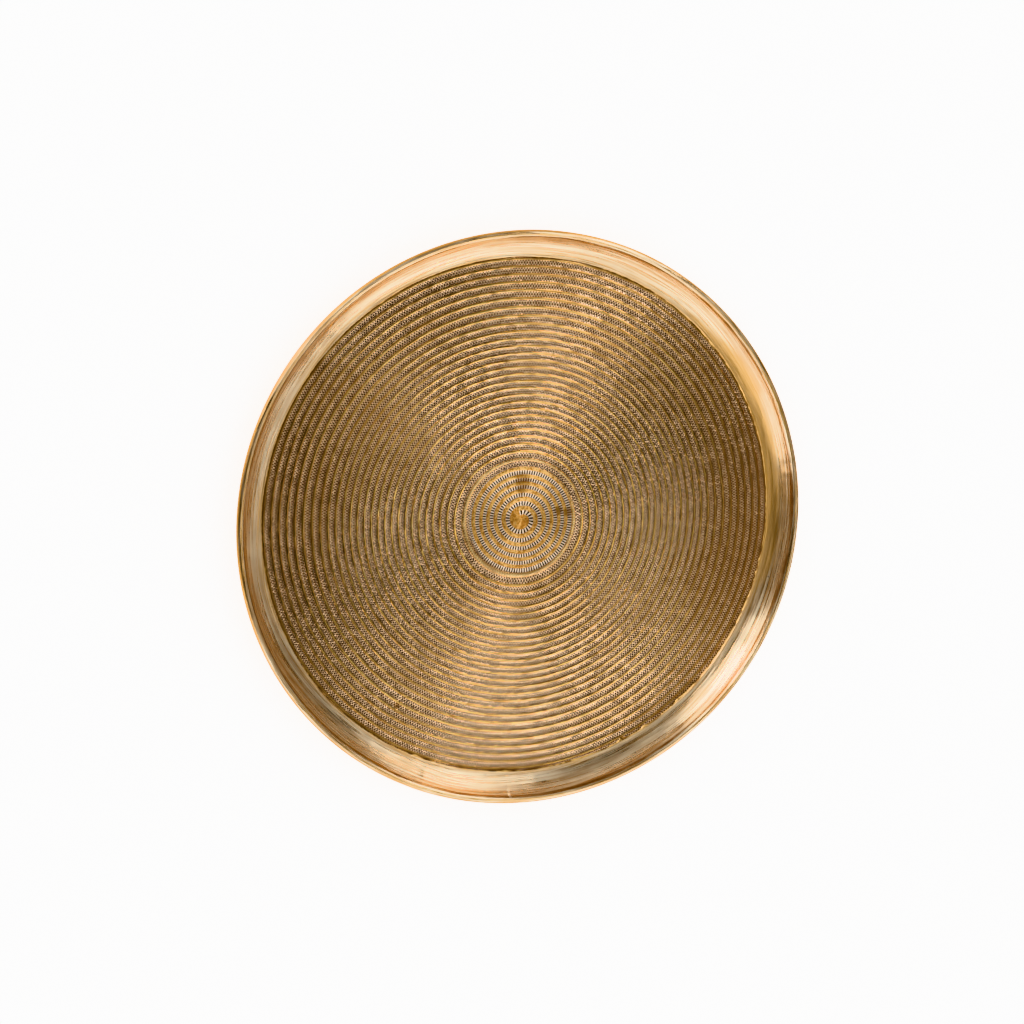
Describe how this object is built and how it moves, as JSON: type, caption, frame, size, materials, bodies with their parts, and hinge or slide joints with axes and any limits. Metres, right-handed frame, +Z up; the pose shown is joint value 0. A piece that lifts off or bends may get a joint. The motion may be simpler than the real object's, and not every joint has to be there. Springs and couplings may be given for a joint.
{
  "type": "serving tray",
  "caption": "Round shallow brass tray: a flat floor embossed with a knurled spiral, a coved rim and an edge rolled over a wire.",
  "frame": {"origin": "the middle of the flat face that the tray rests on", "axes": "+Z up, out of the tray's open side; the rim's brazed seam lies 92 degrees clockwise from +X, seen from above, close to -Y"},
  "size_m": [0.4, 0.4, 0.0173],
  "materials": {
    "embossed_brass": "knurled and antiqued, dark in the hollows",
    "rim_brass": "turned and brushed, lightly tarnished",
    "braze": "filed bright",
    "steel_wire": "drawn",
    "tarnished_solder": "dull, dark with tarnish"
  },
  "bodies": {
    "root": {"floor_plate": "embossed_brass", "rim_hoop": "rim_brass", "seam_braze": "braze", "edge_wire": "steel_wire", "floor_solder": "tarnished_solder"}
  },
  "joints": []
}
